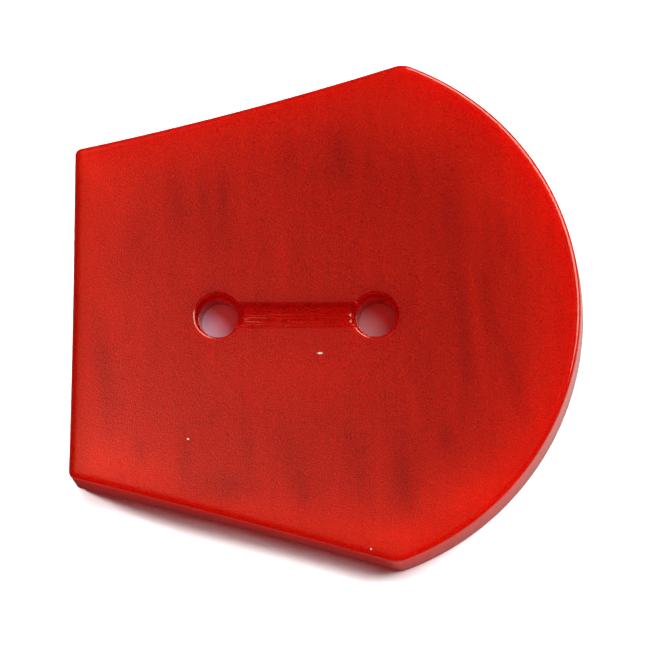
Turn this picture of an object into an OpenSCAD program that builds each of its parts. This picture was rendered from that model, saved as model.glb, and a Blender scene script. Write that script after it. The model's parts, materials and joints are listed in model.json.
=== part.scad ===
// Two-hole sew-through button with a bell-shaped outline.
//
// One solid piece: a flat back, a dished face, a straight end, two sides that
// spread from it, and a round end. The holes sit in round pockets, and a
// round-bottomed channel between the pockets takes the thread below the face.
//
// Frame, in millimetres: Z = 0 is the flat back and +Z points out of the face.
// +X points to the round end. The origin is the middle of the length, on the
// centre line of the back.

/* [Outline] */
// Length from the straight end to the tip of the round end
button_len = 30; // [27:0.5:35]
// Width across the straight end, before its corners are rounded
end_w = 19.7; // [15:0.1:24]
// Angle at which each side spreads away from the centre line
side_angle = 14.8; // [8:0.1:22]
// Depth of the shallow hollow along each side
side_hollow = 0.12; // [0.04:0.02:0.5]
// Radius of the round end
round_r = 15.85; // [15:0.05:20]
// Rounding of the two corners at the straight end
corner_r = 0.45; // [0.4:0.05:3]
// Rounding of the two shoulders, where the sides meet the round end
shoulder_r = 1.5; // [1:0.1:5]

/* [Section] */
// Thickness in the middle of the dish
centre_t = 2.3; // [1.6:0.1:4]
// Depth of the dish, from the tip of the round end down to the middle
dish_depth = 1.2; // [0.2:0.05:1.5]
// Rounding of the edges round the face and the back
edge_r = 0.25; // [0.15:0.05:0.7]

/* [Sewing holes] */
// Diameter of each hole
hole_d = 2.3; // [1.5:0.1:3.5]
// Distance between the two hole centres
hole_pitch = 9.35; // [6:0.05:13]
// Middle of the pair of holes, measured from the middle of the length
hole_shift = -1.82; // [-4:0.02:4]
// Ledge all round from a hole to the wall of its pocket
pocket_ledge = 0.26; // [0.1:0.02:0.8]
// Depth of each pocket below the middle of the face
pocket_depth = 0.65; // [0.3:0.05:1.2]
// Width of the thread channel where it meets the face
channel_w = 1.45; // [0.8:0.05:2.2]
// Depth of the thread channel below the middle of the face
channel_depth = 0.25; // [0.15:0.05:0.6]

/* [Hidden] */

button_colour = [0.70, 0.09, 0.08];
$fn = 96;
fine = 256;      // facets of a full turn for the long, shallow curves
spare = 4;       // how far a cutter runs past the material
lap = 8;         // degrees at which a rounding crosses the surfaces that it joins

// The dish is part of a ball that stands over the centre of the round end.
axis_x = button_len / 2 - round_r;
axis = [axis_x, 0];
dish_r = (pow(round_r, 2) + pow(dish_depth, 2)) / (2 * dish_depth);
dish_z = centre_t + dish_r;

// Each side runs from an end corner to a shoulder on the round end.
end_x = -button_len / 2;
end_corner = [end_x, end_w / 2];
side_dir = [cos(side_angle), sin(side_angle)];
side_out = [-sin(side_angle), cos(side_angle)];
from_axis = end_corner - axis;
along = from_axis * side_dir;
side_len = sqrt(max(0, pow(along, 2) + pow(round_r, 2) - from_axis * from_axis)) - along;
shoulder = end_corner + side_dir * side_len;
shoulder_turn = 2 * (atan2(shoulder.y, shoulder.x - axis_x) + lap);

// The hollow of a side is a long arc round a centre far outside the button.
side_mid = (end_corner + shoulder) / 2;
side_r = (pow(side_len / 2, 2) + pow(side_hollow, 2)) / (2 * side_hollow);
side_c = side_mid + side_out * (side_r - side_hollow);
side_turn = 2 * atan((side_len / 2 + spare) / side_r);

// The block that everything is cut from stands proud of the finished outline.
blank_t = face_z(end_corner) + spare;
blank_w = 2 * (shoulder.y + spare);

// A rounding's centre lies this far inside both surfaces that it joins.
edge_in = edge_r * cos(lap);
corner_in = corner_r * cos(lap);
shoulder_in = shoulder_r * cos(lap);

pocket_d = hole_d + 2 * pocket_ledge;
channel_r = (pow(channel_w / 2, 2) + pow(channel_depth, 2)) / (2 * channel_depth);
hole_x = [hole_shift - hole_pitch / 2, hole_shift + hole_pitch / 2];

// Height of the dished face over a point in plan
function face_z(p) = dish_z - sqrt(pow(dish_r, 2) - pow(p.x - axis_x, 2) - pow(p.y, 2));

function unit(v) = v / norm(v);

// Distance along the line between two centres to the circle where two balls cross
function cross_at(gap, r1, r2) = (pow(r1, 2) - pow(r2, 2) + pow(gap, 2)) / (2 * gap);

// Profile of the corner that a rounding takes away: p is the rounding's centre,
// u and v point from it to the two surfaces.
module corner_waste(p, u, v, r) {
    reach = 2 * r;
    difference() {
        polygon([p, p + reach * u, p + reach * (u + v), p + reach * v]);
        translate(p) circle(r);
    }
}

// Block with the straight end already true and the dish turned in its face
module blank() {
    difference() {
        translate([end_x, -blank_w / 2, 0])
            cube([button_len + spare, blank_w, blank_t]);
        translate([axis_x, 0, dish_z]) sphere(dish_r, $fn = fine);
    }
}

// Rounding along the face edge of a wall. It follows the dish, so it is part of
// a ring round the line from the dish's centre in the direction given.
module face_edge(tilt, heading, p, to_wall, turn) {
    translate([axis_x, 0, dish_z])
        rotate([0, tilt, heading])
            rotate([0, 0, -turn / 2])
                rotate_extrude(angle = turn, $fn = fine)
                    corner_waste(p, -unit(p), to_wall, edge_r);
}

// Roundings along the straight end
module straight_end_edges() {
    reach = end_w + 2 * spare;
    a = axis_x - end_x - edge_in;
    p = [sqrt(pow(dish_r + edge_in, 2) - pow(a, 2)), a];
    face_edge(90, 180, p, [0, 1], 2 * atan(reach / 2 / dish_r));
    translate([0, reach / 2, 0])
        rotate([90, 0, 0])
            linear_extrude(reach)
                corner_waste([end_x + edge_in, edge_in], [-1, 0], [0, -1], edge_r);
}

// Everything outside the round end, with its face and back edges
module round_end() {
    r = round_r - edge_in;
    z = dish_z - sqrt(pow(dish_r + edge_in, 2) - pow(r, 2));
    translate([axis_x, 0, 0])
        rotate([0, 0, -shoulder_turn / 2])
            rotate_extrude(angle = shoulder_turn, $fn = fine) {
                translate([round_r, -spare]) square([button_len, blank_t + 2 * spare]);
                corner_waste([r, edge_in], [1, 0], [0, -1], edge_r);
                corner_waste([r, z], [1, 0], unit([-r, dish_z - z]), edge_r);
            }
}

// Everything outside one side, with its face and back edges
module side() {
    translate(side_c)
        rotate([0, 0, side_angle - 90 - side_turn / 2])
            rotate_extrude(angle = side_turn, $fn = fine) {
                translate([side_r - blank_w / 2, -spare]) square([blank_w / 2, blank_t + 2 * spare]);
                corner_waste([side_r + edge_in, edge_in], [-1, 0], [0, -1], edge_r);
            }
    line = [side_c.x - axis_x, side_c.y, face_z(side_mid) - edge_in - dish_z];
    gap = norm(line);
    a = cross_at(gap, dish_r + edge_in, side_r + edge_in);
    p = [sqrt(pow(dish_r + edge_in, 2) - pow(a, 2)), a];
    face_edge(acos(line.z / gap), atan2(line.y, line.x), p, unit([0, gap] - p),
              2 * atan((side_len / 2 + spare) / p.x));
}

// Upright roundings at the two ends of one side
module side_corners() {
    x = end_x + corner_in;
    p = [x, side_c.y - sqrt(pow(side_r + corner_in, 2) - pow(x - side_c.x, 2))];
    line = side_c - axis;
    a = cross_at(norm(line), round_r - shoulder_in, side_r + shoulder_in);
    b = sqrt(pow(round_r - shoulder_in, 2) - pow(a, 2));
    q = axis + a * unit(line) + b * unit([line.y, -line.x]);
    translate([0, 0, -spare])
        linear_extrude(blank_t + 2 * spare) {
            corner_waste(p, [-1, 0], unit(side_c - p), corner_r);
            corner_waste(q, unit(q - axis), unit(side_c - q), shoulder_r);
        }
}

// Holes, pockets and the thread channel
module sewing_holes() {
    for (x = hole_x) translate([x, 0, 0]) {
        translate([0, 0, -spare]) cylinder(d = hole_d, h = blank_t + spare);
        translate([0, 0, centre_t - pocket_depth]) cylinder(d = pocket_d, h = blank_t);
    }
    translate([hole_x[0], 0, centre_t - channel_depth + channel_r])
        rotate([0, 90, 0])
            cylinder(r = channel_r, h = hole_pitch);
}

// Blank with its straight end finished
module ended_blank() {
    difference() {
        blank();
        straight_end_edges();
    }
}

// Blank with both ends finished
module turned_blank() {
    difference() {
        ended_blank();
        round_end();
    }
}

// Blank trimmed to the full outline
module trimmed_blank() {
    difference() {
        turned_blank();
        for (flip = [0, 1]) mirror([0, flip, 0]) {
            side();
            side_corners();
        }
    }
}

// The finished button
module button() {
    color(button_colour)
        difference() {
            trimmed_blank();
            sewing_holes();
        }
}

button();
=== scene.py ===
"""Dresses the two-hole button: a fine mesh of its form, red pearly plastic, table, light and camera."""
import json
import math

import bmesh
import bpy
import numpy as np
from mathutils import Matrix, Vector


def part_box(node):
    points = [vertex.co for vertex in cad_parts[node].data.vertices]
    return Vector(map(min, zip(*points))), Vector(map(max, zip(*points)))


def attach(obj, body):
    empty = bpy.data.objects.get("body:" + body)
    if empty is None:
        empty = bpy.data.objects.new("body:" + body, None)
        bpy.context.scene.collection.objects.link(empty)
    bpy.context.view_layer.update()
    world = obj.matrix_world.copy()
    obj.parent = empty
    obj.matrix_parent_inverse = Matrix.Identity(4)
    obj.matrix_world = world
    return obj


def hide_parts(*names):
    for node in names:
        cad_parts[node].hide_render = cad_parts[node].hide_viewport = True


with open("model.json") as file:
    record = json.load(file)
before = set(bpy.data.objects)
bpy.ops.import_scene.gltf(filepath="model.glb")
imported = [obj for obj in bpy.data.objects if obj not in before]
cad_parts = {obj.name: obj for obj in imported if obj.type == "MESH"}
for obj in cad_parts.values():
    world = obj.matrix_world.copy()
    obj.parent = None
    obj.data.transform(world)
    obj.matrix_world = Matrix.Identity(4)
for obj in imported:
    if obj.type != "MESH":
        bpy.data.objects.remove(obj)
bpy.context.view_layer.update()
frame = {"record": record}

MM = 0.001

# Sizes in millimetres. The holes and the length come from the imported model.
holes = sorted((m for m in frame["record"]["mounts"] if m["kind"] == "bore"), key=lambda m: m["pos_m"][0])
HOLE_X = [m["pos_m"][0] / MM for m in holes]
HOLE_R = holes[0]["dims"]["r_mm"]
FLOOR_Z = holes[0]["dims"]["length_mm"]
cad_low, cad_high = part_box("button")
LENGTH = (cad_high[0] - cad_low[0]) / MM

# Outline
END_W = 19.7
SIDE_ANGLE = math.radians(14.8)
SIDE_HOLLOW = 0.12
ROUND_R = 15.85
CORNER_R = 0.45
SHOULDER_R = 1.5

# Section. The rim is rounded by RIM_IN along the face and RIM_DOWN down the wall.
CENTRE_T = 2.3
DISH_DEPTH = 1.2
BACK_EDGE = 0.25
RIM_IN, RIM_DOWN = 0.43, 0.30

# Sewing recess, with the softening of its edge, of the channel's mouths and of the holes
POCKET_LEDGE = 0.18
CHANNEL_W = 1.45
CHANNEL_DEPTH = 0.25
RECESS_EDGE = 0.11
MOUTH_EDGE = 0.28
BORE_EDGE = 0.06

# Bevelled lip of a pocket in section: how far in from the face, and how far down
POCKET_LIP = (
    (0, 0), (0.012, 0.0015), (0.022, 0.005), (0.085, 0.033), (0.100, 0.045), (0.108, 0.065), (0.110, 0.100),
)

# Section of the channel from its upper to its lower side: share of the width, and slope in degrees.
# The small ridges of the lower half are what the cutter left.
CHANNEL_SLOPES = (
    (0.10, -40), (0.25, -9), (0.06, 2), (0.08, 12), (0.05, -20), (0.05, 26), (0.16, 2), (0.07, 13),
    (0.09, 30), (0.06, 13), (0.03, 50),
)

# The lip at each mouth of the channel fades out towards the sides, and one ridge nicks it.
# These are shares of the channel's width, and the share of the lip that the nick takes.
MOUTH_FADE = 0.2
NICK_AT, NICK_HALF = 0.58, 0.05
NICK_DEPTH = 0.8

# How finely each stretch is divided. A side has a step count up to each hole and on to its shoulder.
# FACE_SHARES are the rows of the face from rim to recess, closer together near both.
END_STEPS = 60
CORNER_STEPS = 12
SIDE_STEPS = (40, 56, 9)
ROUND_STEPS = 130
RIM_STEPS = 14
WALL_ROWS = 4
BACK_STEPS = 8
RECESS_STEPS = 6
ACROSS_STEPS = 110
SECTION_PARTS = 8
MOUTH_STEPS = 5
BORE_STEPS = 4
FACE_SHARES = [0.004, 0.012, 0.03] + list(np.linspace(0.06, 0.92, 36)) + [0.965, 0.985, 0.995, 1]

# Points closer than WELD become one and slivers thinner than TOO_SMALL go, in metres.
# Edges that turn by more than SHARP_TURN stay sharp.
WELD = 2e-7
TOO_SMALL = 1e-8
SHARP_TURN = math.radians(38)

AXIS_X = LENGTH / 2 - ROUND_R
END_X = -LENGTH / 2
DISH_R = (ROUND_R ** 2 + DISH_DEPTH ** 2) / (2 * DISH_DEPTH)
DISH_Z = CENTRE_T + DISH_R
POCKET_R = HOLE_R + POCKET_LEDGE
CHANNEL_HALF = CHANNEL_W / 2
CHANNEL_R = (CHANNEL_HALF ** 2 + CHANNEL_DEPTH ** 2) / (2 * CHANNEL_DEPTH)
CHANNEL_TURN = math.asin(CHANNEL_HALF / CHANNEL_R)
left, right = HOLE_X


def face_z(x, y):
    """Height of the dished face."""
    return DISH_Z - np.sqrt(DISH_R ** 2 - (x - AXIS_X) ** 2 - y ** 2)


def smooth_step(t):
    """Rises from 0 to 1 with a soft start and a soft end."""
    t = np.clip(t, 0, 1)
    return t * t * (3 - 2 * t)


def heading(v):
    """Direction of a line in plan."""
    return math.atan2(v[1], v[0])


def arc(centre, radius, start, stop, steps):
    """Points on an arc, the first and last included, with their directions from the centre."""
    angles = np.linspace(start, stop, steps + 1)
    out = np.c_[np.cos(angles), np.sin(angles)]
    return centre + radius * out, out


def rounded(turn, tangent, steps):
    """A rounding in section: how far out it goes from the start of the curve, and how far down."""
    r = tangent / math.tan(turn / 2)
    angles = [turn * i / steps for i in range(steps + 1)]
    return [(r * math.sin(t), r * (1 - math.cos(t))) for t in angles]


def quarter(a, b, steps):
    """A quarter of an ellipse between two surfaces.
    Gives what is left to go along the first, and how far it has come along the second."""
    angles = [math.pi / 2 * i / steps for i in range(steps + 1)]
    return [(a * (1 - math.sin(t)), b * (1 - math.cos(t))) for t in angles]


def upper_outline():
    """The outline from the middle of the straight end, over the upper side, to the tip of the round end.
    Returns points, outward directions, and the places in the list that stand over the two holes."""
    axis = np.array([AXIS_X, 0.0])
    corner = np.array([END_X, END_W / 2])
    along = np.array([math.cos(SIDE_ANGLE), math.sin(SIDE_ANGLE)])
    outward = np.array([-along[1], along[0]])
    lever = (corner - axis) @ along
    side_len = math.sqrt(lever ** 2 + ROUND_R ** 2 - (corner - axis) @ (corner - axis)) - lever
    side_r = ((side_len / 2) ** 2 + SIDE_HOLLOW ** 2) / (2 * SIDE_HOLLOW)
    side_c = corner + along * side_len / 2 + outward * (side_r - SIDE_HOLLOW)

    # Centres of the rounding at the corner and at the shoulder
    x = END_X + CORNER_R
    corner_c = np.array([x, side_c[1] - math.sqrt((side_r + CORNER_R) ** 2 - (x - side_c[0]) ** 2)])
    line = side_c - axis
    gap = np.linalg.norm(line)
    a = ((ROUND_R - SHOULDER_R) ** 2 - (side_r + SHOULDER_R) ** 2 + gap ** 2) / (2 * gap)
    b = math.sqrt((ROUND_R - SHOULDER_R) ** 2 - a ** 2)
    shoulder_c = axis + a * line / gap + b * np.array([line[1], -line[0]]) / gap

    pts = [np.c_[np.full(END_STEPS + 1, END_X), np.linspace(0, corner_c[1], END_STEPS + 1)]]
    outs = [np.tile([-1.0, 0.0], (END_STEPS + 1, 1))]

    def add(piece, inward=1):
        pts.append(piece[0][1:])
        outs.append(inward * piece[1][1:])

    add(arc(corner_c, CORNER_R, math.pi, heading(side_c - corner_c), CORNER_STEPS))
    stops = [heading(corner_c - side_c)]
    stops += [-math.acos((x - side_c[0]) / side_r) for x in HOLE_X]
    stops += [heading(shoulder_c - side_c)]
    over_holes = []
    for start, stop, steps in zip(stops, stops[1:], SIDE_STEPS):
        add(arc(side_c, side_r, start, stop, steps), -1)
        over_holes.append(sum(len(s) for s in pts) - 1)
    to_tip = heading(shoulder_c - axis)
    add(arc(shoulder_c, SHOULDER_R, heading(side_c - shoulder_c), to_tip, CORNER_STEPS))
    add(arc(axis, ROUND_R, to_tip, 0.0, ROUND_STEPS))
    return np.vstack(pts), np.vstack(outs), over_holes[:2]


class Skin:
    """Collects grids of points into one mesh."""

    def __init__(self):
        self.verts = []
        self.faces = []

    def ring(self, points):
        first = len(self.verts)
        self.verts.extend(tuple(p) for p in points)
        return list(range(first, first + len(points)))

    def join(self, a, b, closed):
        n = len(a)
        for i in range(n if closed else n - 1):
            j = (i + 1) % n
            self.faces.append((a[i], a[j], b[j], b[i]))

    def sheet(self, rows, closed=True):
        """Rings of points, each joined to the next. Returns the last ring."""
        last = self.ring(rows[0])
        for row in rows[1:]:
            new = self.ring(row)
            self.join(last, new, closed)
            last = new
        return last


# The whole outline: the upper half, and the same mirrored from the tip back to the straight end
upper, upper_out, (at_left, at_right) = upper_outline()
n_half = len(upper)
outline = np.vstack([upper, upper[-2:0:-1] * [1, -1]])
outline_out = np.vstack([upper_out, upper_out[-2:0:-1] * [1, -1]])
n_all = len(outline)
skin = Skin()


def recess_point(i, offset):
    """The point of the recess's edge that outline point i is joined to, moved out by offset.
    The third value says which piece of the recess it lies on."""
    k = i if i < n_half else n_all - i
    side = 1 if i < n_half else -1
    r, w = POCKET_R + offset, CHANNEL_HALF + offset
    mouth = math.asin(w / r)
    x, y = outline[i][0], abs(outline[i][1])
    if k < at_left:
        share = (math.atan2(y, x - left) - math.pi / 2) / (math.pi / 2)
        angle = mouth + share * (math.pi - mouth)
        return left + r * math.cos(angle), side * r * math.sin(angle), "pocket"
    if k > at_right:
        share = math.atan2(y, x - right) / (math.pi / 2)
        angle = share * (math.pi - mouth)
        return right + r * math.cos(angle), side * r * math.sin(angle), "pocket"
    share = (x - left) / (right - left)
    start, stop = left + r * math.cos(mouth), right - r * math.cos(mouth)
    return start + share * (stop - start), side * w, "channel"


def rim_wall_and_back():
    """Rounded rim, wall and back edge. Returns the rim's points on the face, and the ring on the back."""
    rim_rows = [[] for _ in range(RIM_STEPS + 1)]
    wall_rows = [[] for _ in range(WALL_ROWS)]
    back_rows = [[] for _ in range(BACK_STEPS + 1)]
    for (x, y), (ox, oy) in zip(outline, outline_out):
        slope = math.atan(((x - AXIS_X) * ox + y * oy) / DISH_R)
        edge = face_z(x, y)
        for row, (along, down) in zip(rim_rows, quarter(RIM_IN, RIM_DOWN, RIM_STEPS)):
            o = -along * math.cos(slope)
            row.append((x + ox * o, y + oy * o, edge - along * math.sin(slope) - down))
        top, low = edge - RIM_DOWN, BACK_EDGE
        for j, row in enumerate(wall_rows):
            row.append((x, y, top + (low - top) * (j + 1) / (WALL_ROWS + 1)))
        for row, (up, along) in zip(back_rows, quarter(BACK_EDGE, BACK_EDGE, BACK_STEPS)):
            row.append((x - ox * along, y - oy * along, up))
    return rim_rows[0], skin.sheet(rim_rows + wall_rows + back_rows)


def face(rim_row, recess_edge):
    """Dished face, from the rounded rim in to the recess."""
    rows = [rim_row]
    for share in FACE_SHARES:
        row = []
        for (fx, fy, _), (rx, ry, _) in zip(rim_row, recess_edge):
            x, y = fx + (rx - fx) * share, fy + (ry - fy) * share
            row.append((x, y, face_z(x, y)))
        rows.append(row)
    skin.sheet(rows)


def recess_lip(recess_edge):
    """Edge of the recess, bevelled at the pockets and rounded along the channel. Returns its lower row."""
    rows = [[] for _ in range(RECESS_STEPS + 1)]
    channel_lip = rounded(CHANNEL_TURN, RECESS_EDGE, RECESS_STEPS)
    for i, (ex, ey, kind) in enumerate(recess_edge):
        lip = POCKET_LIP if kind == "pocket" else channel_lip
        for row, (inward, down) in zip(rows, lip):
            x, y, _ = recess_point(i, RECESS_EDGE - inward)
            row.append((x, y, face_z(ex, ey) - down))
    skin.sheet(rows)
    return rows[-1]


def channel_section(half):
    """Height of the channel over the straight line between its two sides, below zero, for each step."""
    parts = ACROSS_STEPS * SECTION_PARTS
    limits = np.cumsum([0] + [share for share, _ in CHANNEL_SLOPES])
    slopes = np.array([math.tan(math.radians(tilt)) for _, tilt in CHANNEL_SLOPES])
    middle = (np.arange(parts) + 0.5) / parts
    slope = slopes[np.clip(np.searchsorted(limits, middle) - 1, 0, len(slopes) - 1)]
    blur = 2 * SECTION_PARTS + 1
    slope = np.convolve(np.pad(slope, SECTION_PARTS, mode="edge"), np.full(blur, 1 / blur), mode="valid")
    height = np.concatenate([[0], np.cumsum(slope - slope.mean())]) / parts * 2 * half
    return height[::SECTION_PARTS]


def channel(lip_row):
    """Thread channel, row by row across it, with a soft lip where it drops into each pocket.
    Returns the points of its left and right mouths."""
    over = range(at_left, at_right + 1)
    high_side = [lip_row[k] for k in over]
    low_side = [lip_row[n_all - k] for k in over]
    half = high_side[0][1]
    section = channel_section(half)
    rows = []
    for j in range(ACROSS_STEPS + 1):
        if j in (0, ACROSS_STEPS):
            side = high_side if j == 0 else low_side
            rows.append([side[0]] * MOUTH_STEPS + side + [side[-1]] * MOUTH_STEPS)
            continue
        s = j / ACROSS_STEPS
        y = half * (1 - 2 * s)
        nick = 1 - NICK_DEPTH * math.exp(-((s - NICK_AT) / NICK_HALF) ** 2)
        lip = MOUTH_EDGE * smooth_step(min(s, 1 - s) / MOUTH_FADE) * nick
        reach = math.sqrt(POCKET_R ** 2 - y ** 2)
        start, stop = left + reach, right - reach
        body = []
        for i, (high, low) in enumerate(zip(high_side, low_side)):
            x = start + lip + (stop - start - 2 * lip) * i / (len(over) - 1)
            body.append((x, y, high[2] * (1 - s) + low[2] * s + section[j]))
        curl = rounded(math.pi / 2, lip, MOUTH_STEPS)
        head = [(body[0][0] - out, y, body[0][2] - down) for out, down in curl[:0:-1]]
        tail = [(body[-1][0] + out, y, body[-1][2] - down) for out, down in curl[1:]]
        rows.append(head + body + tail)
    skin.sheet(rows, closed=False)
    return [row[0] for row in rows], [row[-1] for row in rows]


def pocket(centre, top):
    """One pocket from its lip down: wall, floor and hole. Returns the ring where the hole meets the back."""
    angles = [math.atan2(y, x - centre) for x, y, _ in top]

    def level(radius, z):
        return [(centre + radius * math.cos(t), radius * math.sin(t), z) for t in angles]

    rows = [top]
    for share in (0.25, 0.5, 0.75):
        rows.append([(x, y, z + (FLOOR_Z - z) * share) for x, y, z in top])
    rows.append(level(POCKET_R, FLOOR_Z))
    rows += [level(HOLE_R + BORE_EDGE + (POCKET_LEDGE - BORE_EDGE) * k / 3, FLOOR_Z) for k in (2, 1)]
    for out, down in rounded(math.pi / 2, BORE_EDGE, BORE_STEPS):
        rows.append(level(HOLE_R + BORE_EDGE - out, FLOOR_Z - down))
    rows += [level(HOLE_R, FLOOR_Z * k / 4) for k in (3, 2, 1)]
    for out, down in rounded(math.pi / 2, BORE_EDGE, BORE_STEPS):
        rows.append(level(HOLE_R + down, BORE_EDGE - out))
    return skin.sheet(rows)


def closed_mesh(rings):
    """The skin with its flat back filled in between the rings, shaded smooth apart from sharp edges."""
    made = bpy.data.meshes.new("button_dressed")
    made.from_pydata([tuple(c * MM for c in v) for v in skin.verts], [], skin.faces)
    bm = bmesh.new()
    bm.from_mesh(made)
    bm.verts.ensure_lookup_table()
    borders = []
    for ring in rings:
        for a, b in zip(ring, ring[1:] + ring[:1]):
            borders.append(bm.edges.get((bm.verts[a], bm.verts[b])))
    bmesh.ops.triangle_fill(bm, use_beauty=True, use_dissolve=False, edges=borders, normal=(0, 0, -1))
    bmesh.ops.remove_doubles(bm, verts=bm.verts, dist=WELD)
    bmesh.ops.dissolve_degenerate(bm, dist=TOO_SMALL, edges=bm.edges)
    bmesh.ops.recalc_face_normals(bm, faces=bm.faces)
    for f in bm.faces:
        f.smooth = True
    for e in bm.edges:
        if len(e.link_faces) == 2 and e.calc_face_angle(0) > SHARP_TURN:
            e.smooth = False
    bm.to_mesh(made)
    bm.free()
    return made


recess_edge = [recess_point(i, RECESS_EDGE) for i in range(n_all)]
rim_row, back_ring = rim_wall_and_back()
face(rim_row, recess_edge)
lip_row = recess_lip(recess_edge)
left_mouth, right_mouth = channel(lip_row)
round_left = [*range(at_left - 1, -1, -1), *range(n_all - 1, n_all - at_left, -1)]
round_right = range(at_right + 1, n_all - at_right)
rings = [back_ring]
for centre, places, mouth in ((left, round_left, left_mouth), (right, round_right, right_mouth)):
    rings.append(pocket(centre, [lip_row[i] for i in places] + mouth[::-1]))
mesh = closed_mesh(rings)

# Tone of the red, from dark to light, and what lifts or lowers it. Reaches are in millimetres.
DARK_RED, LIGHT_RED = 0.20, 0.80
BODY_RED = 0.439
# Painted glow of light that the rim lets in, and painted shade right at the rim
RIM_PAINTED_GLOW, RIM_LIFT_REACH = 0.277, 1.6
RIM_PAINTED_SHADE, RIM_DROP_REACH = 0.21, 0.5
# Painted shade on the rim that faces the light
LIT_RIM_PAINTED_SHADE, LIT_RIM_REACH = 0.38, 1.9
# Painted glow on the wall, for light that the plastic lets through
WALL_PAINTED_GLOW, WALL_START, WALL_FADE = 0.14, 0.15, 0.4
# Painted shade in the pockets and in the channel
POCKET_PAINTED_SHADE, CHANNEL_PAINTED_SHADE = 0.36, 0.27
# Painted shade in a ring on the face round the recess and round each pocket
RECESS_RING_PAINTED_SHADE, RECESS_RING_REACH = 0.20, 0.45
POCKET_RING_PAINTED_SHADE, POCKET_RING_REACH = 0.16, 0.5

# Zones of the button: the wall and the rim, by distance from the outline, a pocket, by distance past
# its hole, and what is cut below the face, by depth, well away from the rim
WALL_ZONE, RIM_ZONE = 0.4, 1
POCKET_ZONE = 0.4
CUT_DEPTH, CUT_FROM_RIM = 0.02, 2

# The rim that faces the light, or turns away by less than this, is lit. RIM_BLUR evens out the corners.
TURNED_AWAY = 0.4
RIM_BLUR = 0.8

# The satin gives way to polish within this depth below the face, at the rim and in the recess.
RIM_POLISH_DEPTH, RECESS_POLISH_DEPTH = 0.035, 0.006
RIM_POLISH, RIM_POLISH_REACH = 0.4, 0.8

# Direction in plan that the light comes from
LIGHT_FROM = math.radians(40)

# Pearly streaks: centre, half width, half length, lean to the right going down, and lift of the red
STREAKS = (
    (-13.1, -3.2, 0.74, 3.9, 0.15, -0.26),
    (-12.5, 2.7, 0.61, 1.4, 0.20, -0.12),
    (-11.4, 4.5, 0.57, 1.6, 0.0, -0.12),
    (-8.9, 6.6, 0.61, 1.9, 0.15, -0.14),
    (-7.4, 7.1, 0.41, 1.3, 0.10, -0.12),
    (-6.3, 7.3, 0.43, 1.4, 0.0, -0.19),
    (-6.6, 5.0, 1.0, 1.2, 0.0, -0.09),
    (-5.0, 6.5, 0.22, 1.8, 0.0, 0.14),
    (-3.3, 6.6, 0.30, 0.8, 0.20, 0.11),
    (-2.2, 9.3, 0.43, 1.2, 0.0, -0.12),
    (0.7, 9.8, 0.65, 1.3, 0.20, -0.18),
    (0.3, 8.5, 1.1, 1.0, 0.0, -0.10),
    (2.4, 9.0, 0.30, 1.5, 0.35, -0.07),
    (5.1, 8.2, 0.30, 1.1, 0.30, -0.11),
    (3.2, 7.2, 0.9, 2.2, 0.0, -0.05),
    (7.4, 6.0, 0.57, 2.5, 0.14, -0.12),
    (8.0, -0.8, 0.57, 4.6, 0.14, -0.14),
    (9.5, 1.2, 0.49, 3.6, 0.20, -0.12),
    (10.5, 4.6, 0.30, 1.8, 0.25, -0.10),
    (11.1, -3.8, 0.54, 2.3, 0.25, -0.15),
    (8.9, -0.8, 0.26, 4.0, 0.13, 0.14),
    (8.6, 6.2, 0.28, 1.6, 0.20, 0.14),
    (5.0, -5.0, 0.26, 2.0, 0.30, 0.15),
    (7.2, -7.5, 0.61, 1.0, 0.10, -0.18),
    (4.7, -10.3, 0.68, 1.9, 0.05, -0.29),
    (4.4, -7.6, 0.40, 1.6, 0.0, -0.12),
    (2.0, -9.3, 0.65, 2.2, 0.12, -0.18),
    (3.1, -9.6, 0.30, 2.2, 0.0, 0.08),
    (-1.2, -10.6, 0.8, 1.0, 0.0, -0.14),
    (-2.3, -8.2, 0.42, 1.8, 0.10, -0.14),
    (-1.1, -9.9, 1.6, 2.2, 0.0, -0.09),
    (-4.5, -8.6, 0.45, 1.8, 0.0, -0.11),
    (-7.2, -9.0, 1.7, 2.3, 0.0, -0.09),
    (-8.2, -8.7, 0.32, 1.7, 0.0, -0.15),
    (-10.9, -8.0, 0.32, 1.0, 0.20, -0.15),
    (-2.2, -3.7, 5.2, 2.0, 0.0, 0.17),
    (-2.6, 3.6, 0.30, 2.0, 0.0, 0.11),
    (5.4, 11.2, 2.6, 1.7, 0.30, 0.14),
    (9.8, 7.6, 1.5, 3.2, 0.55, 0.14),
    (12.2, 1.5, 1.0, 5.0, 0.12, 0.08),
    (8.9, -11.0, 3.2, 1.4, -0.60, 0.15),
    (4.4, -13.4, 2.2, 0.9, 0.0, 0.12),
    (-13.0, -8.8, 1.5, 1.1, 0.0, 0.13),
    (-14.0, 8.4, 1.0, 1.2, 0.0, 0.12),
    (-14.4, 5.0, 0.5, 4.0, 0.0, 0.12),
    (-5.9, -10.4, 2.4, 1.0, 0.25, -0.26),
    (8.8, 10.6, 1.6, 2.0, 0.5, -0.08),
    (14.2, 0.0, 0.7, 5.0, 0.0, -0.06),
    (5.6, -3.4, 1.6, 2.6, 0.0, -0.06),
    (-14.5, 9.2, 0.6, 0.8, 0.0, 0.16),
    (9.3, 2.7, 0.6, 6.0, 0.33, 0.07),
)

# Every point of the mesh, in millimetres, and its distance to each stretch of the rim
co = np.zeros(len(mesh.vertices) * 3)
mesh.vertices.foreach_get("co", co)
co = co.reshape(-1, 3) / MM
rim, rim_out = outline[::2], outline_out[::2]
stretch = np.roll(rim, -1, axis=0) - rim
stretch_len = np.linalg.norm(stretch, axis=1)
to_rim = np.linalg.norm(co[:, None, :2] - (rim + stretch / 2)[None], axis=2)
from_rim = to_rim.min(1)

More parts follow.
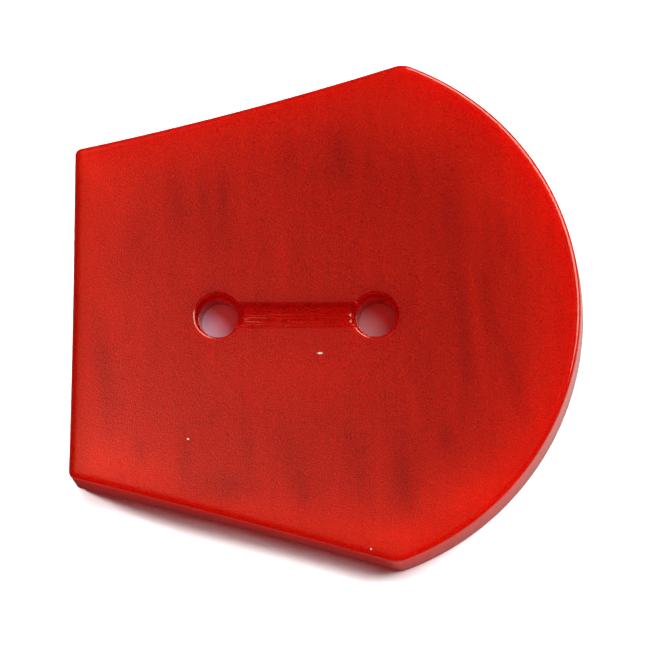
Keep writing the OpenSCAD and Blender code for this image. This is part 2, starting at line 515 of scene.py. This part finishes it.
# How far each point lies below the face, and how far it is from the holes and from the recess
sunk = face_z(co[:, 0], co[:, 1]) - co[:, 2]
to_hole = np.min([np.hypot(co[:, 0] - x, co[:, 1]) for x in HOLE_X], axis=0)
to_channel = np.hypot(co[:, 0] - np.clip(co[:, 0], left, right), co[:, 1]) - CHANNEL_HALF
to_recess = np.minimum(to_channel, to_hole - POCKET_R)
in_pocket = to_hole < HOLE_R + POCKET_ZONE
cut = np.clip(sunk / CUT_DEPTH, 0, 1) * (from_rim > CUT_FROM_RIM)


def layer(name, values):
    """Keeps one value for each point of the mesh."""
    made = mesh.attributes.new(name, "FLOAT", "POINT")
    made.data.foreach_set("value", values.astype(np.float32))


def rim_light(reach):
    """Light that comes in at the rim and dies away with distance from it."""
    return (np.exp(-to_rim / reach) * stretch_len).sum(1) / (2 * reach)


def streaks():
    """Lift of the red by the pearly streaks, 1 where there is none."""
    lift = np.ones(len(co))
    for x, y, half_width, half_length, lean, amount in STREAKS:
        down = y - co[:, 1]
        across = co[:, 0] - x - lean * down
        lift += amount * np.exp(-(across / half_width) ** 2 - (down / half_length) ** 2)
    return lift


def lit_rim():
    """How much of the light falls on the nearest rim, fading away from it."""
    near = np.exp((from_rim[:, None] - to_rim) / RIM_BLUR) * stretch_len
    facing = near @ (rim_out @ [math.cos(LIGHT_FROM), math.sin(LIGHT_FROM)]) / near.sum(1)
    lit = np.clip((facing + TURNED_AWAY) / (1 + TURNED_AWAY), 0, 1)
    return lit * np.exp(-from_rim / LIT_RIM_REACH)


def ring_of_painted_shade(distance, reach):
    """Painted shade: a darker ring on the face round an edge, by the distance from that edge."""
    return (1 - cut) * np.exp(-np.clip(distance - RECESS_EDGE, 0, None) / reach)


# The rim that faces the light is bright enough by itself, so painted shade calms the red there. Painted glow
# makes the wall lighter than the face, and painted shade makes the recess darker.
red = BODY_RED + RIM_PAINTED_GLOW * rim_light(RIM_LIFT_REACH) - RIM_PAINTED_SHADE * rim_light(RIM_DROP_REACH)
red *= streaks()
red *= 1 - LIT_RIM_PAINTED_SHADE * lit_rim()
red += WALL_PAINTED_GLOW * np.clip((sunk - WALL_START) / WALL_FADE, 0, 1) * (from_rim < WALL_ZONE)
red *= 1 - cut * np.where(in_pocket, POCKET_PAINTED_SHADE, CHANNEL_PAINTED_SHADE)
red *= 1 - RECESS_RING_PAINTED_SHADE * ring_of_painted_shade(to_recess, RECESS_RING_REACH)
red *= 1 - POCKET_RING_PAINTED_SHADE * ring_of_painted_shade(to_hole - POCKET_R, POCKET_RING_REACH)
layer("tone", np.clip((red - DARK_RED) / (LIGHT_RED - DARK_RED), 0, 1))
layer("cut", cut * ~in_pocket)

# The satin stops at the lips: rim, wall and recess are polished.
bare = smooth_step(sunk / np.where(from_rim < RIM_ZONE, RIM_POLISH_DEPTH, RECESS_POLISH_DEPTH))
layer("polish", np.maximum(bare, RIM_POLISH * np.exp(-from_rim / RIM_POLISH_REACH)))

button = bpy.data.objects.new("button_dressed", mesh)
bpy.context.scene.collection.objects.link(button)
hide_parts("button")
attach(button, "root")


def linked(tree, kind, settings=None, **sockets):
    """Adds a node. Sockets take a number or vector, or the output that feeds them."""
    made = tree.nodes.new(kind)
    for name, value in (settings or {}).items():
        setattr(made, name, value)
    for name, value in sockets.items():
        key = int(name[1:]) if name[1:].isdigit() else name.replace("_", " ")
        if isinstance(value, bpy.types.NodeSocket):
            tree.links.new(value, made.inputs[key])
        else:
            made.inputs[key].default_value = value
    return made


# Pearl and grain: how many waves a metre along X, Y and Z, and how much they change the tone
STRAND_WAVES, STRAND_LEAN, STRAND_SHARE = (1900, 160, 800), 0.06, 0.2
GRAIN_WAVES, GRAIN_SHARE = 13000.0, 1.1
TONE_BACK = 0.65
DARK_PLASTIC = (DARK_RED, 0.0003, 0.0005, 1)
LIGHT_PLASTIC = (LIGHT_RED, 0.0140, 0.0024, 1)

# Roughness of the satin and of the polished lips, and the height of the grain and of the cutter's marks
SATIN, POLISHED = 0.34, 0.12
GRAIN_STRENGTH, GRAIN_HEIGHT = 0.7, 0.02 * MM
MARK_WAVES, MARK_HEIGHT = (500, 9000, 0), 0.04 * MM

# Dust on the face: place in millimetres, and half its size along X and Y. A speck's edge is soft,
# between these shares of that half.
DUST = (((-0.39, -2.27), (0.15, 0.055)), ((2.82, -14.14), (0.05, 0.05)), ((-8.07, -7.47), (0.065, 0.05)))
DUST_INNER, DUST_OUTER = 0.7, 1.3
DUST_COLOUR = (0.95, 0.86, 0.72, 1)


def dusted(tree, place, colour):
    """The colour with the specks of dust laid over it."""
    for (x, y), (half_x, half_y) in DUST:
        at = linked(tree, "ShaderNodeMapping", Vector=place, Location=(-x / half_x, -y / half_y, 0),
                    Scale=(1 / (half_x * MM), 1 / (half_y * MM), 0))
        away = linked(tree, "ShaderNodeVectorMath", {"operation": "LENGTH"}, _0=at.outputs[0])
        speck = linked(tree, "ShaderNodeMapRange", Value=away.outputs["Value"],
                       From_Min=DUST_OUTER, From_Max=DUST_INNER)
        mix = linked(tree, "ShaderNodeMix", {"data_type": "RGBA"}, _0=speck.outputs[0], _6=colour,
                     _7=DUST_COLOUR)
        colour = mix.outputs[2]
    return colour


def red_pearl_plastic():
    """Satin red plastic with fine grain, faint drawn-out strands and dust, polished at the lips."""
    mat = bpy.data.materials.new("red_pearl_plastic")
    mat.use_nodes = True
    tree = mat.node_tree
    shader = tree.nodes["Principled BSDF"]
    place = tree.nodes.new("ShaderNodeTexCoord").outputs["Object"]
    # The tone holds painted glow and painted shade besides the pearly streaks
    tone = linked(tree, "ShaderNodeAttribute", {"attribute_name": "tone"}).outputs["Fac"]
    polish = linked(tree, "ShaderNodeAttribute", {"attribute_name": "polish"}).outputs["Fac"]
    channel_cut = linked(tree, "ShaderNodeAttribute", {"attribute_name": "cut"}).outputs["Fac"]

    drawn = linked(tree, "ShaderNodeMapping", Vector=place, Rotation=(0, 0, STRAND_LEAN), Scale=STRAND_WAVES)
    strands = linked(tree, "ShaderNodeTexNoise", Vector=drawn.outputs[0], Scale=1.0, Detail=3.0)
    grain = linked(tree, "ShaderNodeTexNoise", Vector=place, Scale=GRAIN_WAVES, Detail=1.0).outputs["Fac"]
    soft = linked(tree, "ShaderNodeMath", {"operation": "MULTIPLY_ADD"},
                  _0=strands.outputs["Fac"], _1=STRAND_SHARE, _2=tone)
    fine = linked(tree, "ShaderNodeMath", {"operation": "MULTIPLY_ADD"},
                  _0=grain, _1=GRAIN_SHARE, _2=soft.outputs[0])
    shade = linked(tree, "ShaderNodeMath", {"operation": "SUBTRACT"}, _0=fine.outputs[0], _1=TONE_BACK)
    ramp = linked(tree, "ShaderNodeValToRGB", Fac=shade.outputs[0])
    ramp.color_ramp.elements[0].color = DARK_PLASTIC
    ramp.color_ramp.elements[1].color = LIGHT_PLASTIC
    tree.links.new(dusted(tree, place, ramp.outputs["Color"]), shader.inputs["Base Color"])

    gloss = linked(tree, "ShaderNodeMapRange", Value=polish, To_Min=SATIN, To_Max=POLISHED)
    tree.links.new(gloss.outputs[0], shader.inputs["Roughness"])
    rough = linked(tree, "ShaderNodeMapRange", Value=polish, To_Min=GRAIN_STRENGTH, To_Max=0.0)
    bump = linked(tree, "ShaderNodeBump", Height=grain, Strength=rough.outputs[0], Distance=GRAIN_HEIGHT)
    lines = linked(tree, "ShaderNodeMapping", Vector=place, Scale=MARK_WAVES)
    chatter = linked(tree, "ShaderNodeTexNoise", Vector=lines.outputs[0], Scale=1.0, Detail=1.0)
    marks = linked(tree, "ShaderNodeBump", Height=chatter.outputs["Fac"], Strength=channel_cut,
                   Distance=MARK_HEIGHT, Normal=bump.outputs[0])
    tree.links.new(marks.outputs[0], shader.inputs["Normal"])
    shader.inputs["Specular Tint"].default_value = (1.0, 0.85, 0.65, 1)
    shader.inputs["IOR"].default_value = 1.5
    shader.inputs["Subsurface Weight"].default_value = 1.0
    shader.inputs["Subsurface Radius"].default_value = (8.0, 0.25, 0.15)
    shader.inputs["Subsurface Scale"].default_value = MM
    return mat


button.data.materials.append(red_pearl_plastic())


def table_sheet(name, depth, low, high, colour):
    """One flat sheet of the table, a little below the button's back."""
    paint = bpy.data.materials.new(name)
    paint.use_nodes = True
    shader = paint.node_tree.nodes["Principled BSDF"]
    shader.inputs["Base Color"].default_value = (*colour, 1)
    shader.inputs["Roughness"].default_value = 0.7
    shader.inputs["Specular IOR Level"].default_value = 0.1
    sheet = bpy.data.meshes.new(name)
    corners = [(low[0], low[1], 0), (high[0], low[1], 0), (high[0], high[1], 0), (low[0], high[1], 0)]
    sheet.from_pydata(corners, [], [(0, 1, 2, 3)])
    sheet.materials.append(paint)
    table = bpy.data.objects.new(name, sheet)
    table.location.z = -depth
    table.visible_shadow = False
    bpy.context.scene.collection.objects.link(table)
    return table


# Table: the sheet that the camera sees, a patch below each hole, and the sheet that the button mirrors
TABLE_LOW, TABLE_HIGH = (-2, -2), (2, 2)
PATCH_HALF = 2 * MM
# The patches' colours are painted shade: bluish below the left hole, deeper and red below the right
PATCH_PAINTED_SHADE_COLOURS = ((0.81, 0.84, 0.98), (0.69, 0.445, 0.44))
table = table_sheet("table", 0.02 * MM, TABLE_LOW, TABLE_HIGH, (0.93, 0.93, 0.93))
patches = []
for x, colour in zip(HOLE_X, PATCH_PAINTED_SHADE_COLOURS):
    low, high = (x * MM - PATCH_HALF, -PATCH_HALF), (x * MM + PATCH_HALF, PATCH_HALF)
    patches.append(table_sheet("table_below_hole_painted_shade", 0.01 * MM, low, high, colour))
# The mirrored sheet is greyer than the table: painted shade that dims what the button mirrors
mirrored = table_sheet("table_mirrored_shaded", 0.03 * MM, TABLE_LOW, TABLE_HIGH, (0.48, 0.47, 0.46))
for seen in (table, *patches):
    seen.visible_diffuse = False
table.visible_glossy = False
mirrored.visible_camera = False

world = bpy.data.worlds.new("room")
world.use_nodes = True
world.node_tree.nodes["Background"].inputs["Color"].default_value = (0.86, 0.93, 1.0, 1)
world.node_tree.nodes["Background"].inputs["Strength"].default_value = 0.04
bpy.context.scene.world = world


def group(name, *members):
    """A set of objects that a lamp lights or that block its light."""
    made = bpy.data.collections.new(name)
    for ob in members:
        made.objects.link(ob)
    return made


def lamp(name, shape, size, power, colour, lights, blockers=None):
    """A flat lamp that lights only the given set, and is blocked only by the other set if one is given."""
    light = bpy.data.lights.new(name, "AREA")
    light.shape = shape
    light.size, light.size_y = size
    light.energy = power
    light.color = colour
    made = bpy.data.objects.new(name, light)
    bpy.context.scene.collection.objects.link(made)
    made.light_linking.receiver_collection = lights
    if blockers:
        made.light_linking.blocker_collection = blockers
    return made


def aim(made, azimuth, elevation):
    """Stands a lamp off and turns it to face the origin. Azimuth goes from +X towards +Y, in degrees."""
    a, e = math.radians(azimuth), math.radians(elevation)
    out = Vector((math.cos(a) * math.cos(e), math.sin(a) * math.cos(e), math.sin(e)))
    made.location = out * LAMP_DISTANCE
    made.rotation_euler = out.to_track_quat("Z", "Y").to_euler()


# Light: a wide window for the button, and lamps of the table's own
LAMP_DISTANCE = 0.7
WHITE = (1, 1, 1)
on_button = group("lit_by_window", button, mirrored)
button_only = group("button_only", button)
on_table = group("table_only", table)
on_patch = group("patches_only", *patches)
on_mirrored = group("mirrored_only", mirrored)
aim(lamp("window", "RECTANGLE", (0.88, 0.40), 10.0, (1.0, 0.98, 0.95), on_button), 45, 40)
aim(lamp("table_lamp_back", "DISK", (0.65, 0.65), 6.4, WHITE, on_table), 101, 63)
aim(lamp("table_lamp_right", "DISK", (0.375, 0.375), 8.3, WHITE, on_table), 26, 52)
aim(lamp("table_lamp_left", "DISK", (0.15, 0.15), 8.3, WHITE, on_table), 156, 22)
aim(lamp("mirror_lamp", "DISK", (0.3, 0.3), 0.4, WHITE, on_mirrored), -110, 45)
aim(lamp("hole_lamp", "DISK", (0.7, 0.7), 4.7, (0.93, 0.9, 1.0), on_patch), 40, 44)

# Red light that the plastic lets through: on to the table along the lower side and below the holes,
# into the wall away from the window, and into the pockets and the channel
GLOW = (1.0, 0.03, 0.02)
BETWEEN_HOLES = (left + right) / 2 * MM
side_glow = lamp("glow_side", "RECTANGLE", (19 * MM, 8 * MM), 0.00026, GLOW, on_table, on_table)
side_glow.location = (-4.38 * MM, -8.53 * MM, 1.5 * MM)
side_glow.rotation_euler.z = -SIDE_ANGLE
for name, azimuth, power in (("through_low_side", -104, 1.7), ("through_round_end", -25, 2.0)):
    through = lamp(name, "DISK", (0.3, 0.3), power, GLOW, button_only)
    through.visible_glossy = False
    aim(through, azimuth, -4)
shaded = Vector((math.cos(LIGHT_FROM), math.sin(LIGHT_FROM), 0.2))
for x in HOLE_X:
    pocket_glow = lamp("glow_pocket", "DISK", (1.2 * MM, 1.2 * MM), 0.00003, GLOW, button_only)
    pocket_glow.location = ((x - 0.4) * MM, -0.4 * MM, 1.3 * MM)
    pocket_glow.rotation_euler = (-shaded).to_track_quat("Z", "Y").to_euler()
    pocket_glow.visible_camera = False
    pocket_glow.visible_glossy = False
channel_glow = lamp("glow_channel", "RECTANGLE", (6.4 * MM, 1.1 * MM), 0.000015, GLOW, button_only)
channel_glow.location = (BETWEEN_HOLES, 0, 2.29 * MM)
channel_glow.visible_camera = False
channel_glow.visible_glossy = False
hole_glow = lamp("glow_holes", "DISK", (16 * MM, 16 * MM), 0.00031, GLOW, on_patch, on_patch)
hole_glow.location = (BETWEEN_HOLES, 0, 1.2 * MM)

# Camera: its place and lean were fitted to the button's outline. PHOTO is the picture's width, and
# PRINCIPAL the point in it where the origin stands, both in pixels.
PHOTO = 665
DISTANCE = 400 * MM
PIXELS_PER_MM = 16.881
PRINCIPAL = (330.45, 323.19)
LEAN = Matrix.Rotation(0.0057, 3, "Z") @ Matrix.Rotation(-0.085, 3, "Y") @ Matrix.Rotation(-0.203, 3, "X")
camera_data = bpy.data.cameras.new("camera")
camera_data.sensor_width = 36
camera_data.lens = PIXELS_PER_MM * DISTANCE / MM * camera_data.sensor_width / PHOTO
camera_data.shift_x = (PHOTO / 2 - PRINCIPAL[0]) / PHOTO
camera_data.shift_y = (PRINCIPAL[1] - PHOTO / 2) / PHOTO
camera = bpy.data.objects.new("camera", camera_data)
bpy.context.scene.collection.objects.link(camera)
turn = LEAN.transposed()
camera.matrix_world = Matrix.Translation(turn @ Vector((0, 0, DISTANCE))) @ turn.to_4x4()
bpy.context.scene.camera = camera
bpy.context.scene.view_settings.view_transform = "Standard"
